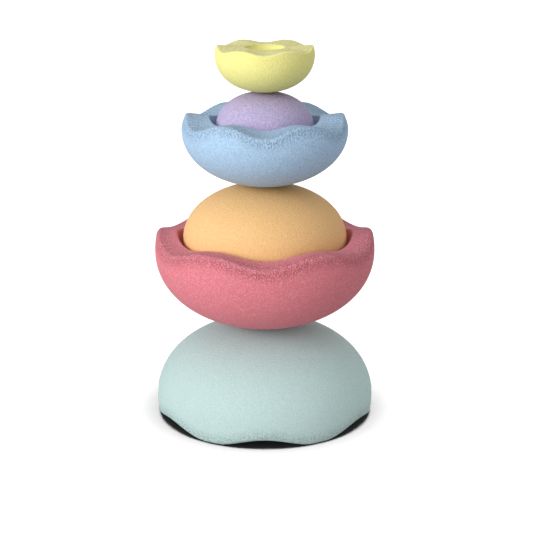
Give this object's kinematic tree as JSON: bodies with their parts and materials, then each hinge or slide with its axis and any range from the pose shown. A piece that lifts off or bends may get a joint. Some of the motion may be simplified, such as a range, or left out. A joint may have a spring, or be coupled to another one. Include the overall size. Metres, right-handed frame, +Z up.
{
  "type": "stacking cup tower",
  "caption": "Tower of thick moulded foam cups with wavy rims in three sizes, stood alternately dome up and cup up, each one resting on or nesting in the one below.",
  "frame": {"origin": "centre of the tower's footprint, on the floor under the rim of the lowest cup", "axes": "+Z up along the common axis of the cups; +X through a crest of the wavy rims; -Y, through a trough of the rims, faces the viewer"},
  "size_m": [0.275, 0.275, 0.4694],
  "materials": {
    "mint_foam": "moulded bead foam with a fine matt grain",
    "red_foam": "moulded bead foam with a fine matt grain",
    "orange_foam": "moulded bead foam with a fine matt grain",
    "blue_foam": "moulded bead foam with a fine matt grain",
    "purple_foam": "moulded bead foam with a fine matt grain",
    "yellow_foam": "moulded bead foam with a fine matt grain"
  },
  "bodies": {
    "mint": {"large_cup_mint": "mint_foam"},
    "red": {"large_cup_red": "red_foam"},
    "orange": {"medium_cup_orange": "orange_foam"},
    "blue": {"medium_cup_blue": "blue_foam"},
    "purple": {"small_cup_purple": "purple_foam"},
    "yellow": {"small_cup_yellow": "yellow_foam"}
  },
  "joints": [
    {"name": "red_lift", "type": "slide", "parent": "mint", "child": "red", "axis": [0, 0, 1], "range_m": [0, 0.13]},
    {"name": "orange_lift", "type": "slide", "parent": "red", "child": "orange", "axis": [0, 0, 1], "range_m": [0, 0.1]},
    {"name": "blue_lift", "type": "slide", "parent": "orange", "child": "blue", "axis": [0, 0, 1], "range_m": [0, 0.1]},
    {"name": "purple_lift", "type": "slide", "parent": "blue", "child": "purple", "axis": [0, 0, 1], "range_m": [0, 0.07]},
    {"name": "yellow_lift", "type": "slide", "parent": "purple", "child": "yellow", "axis": [0, 0, 1], "range_m": [0, 0.07]}
  ]
}
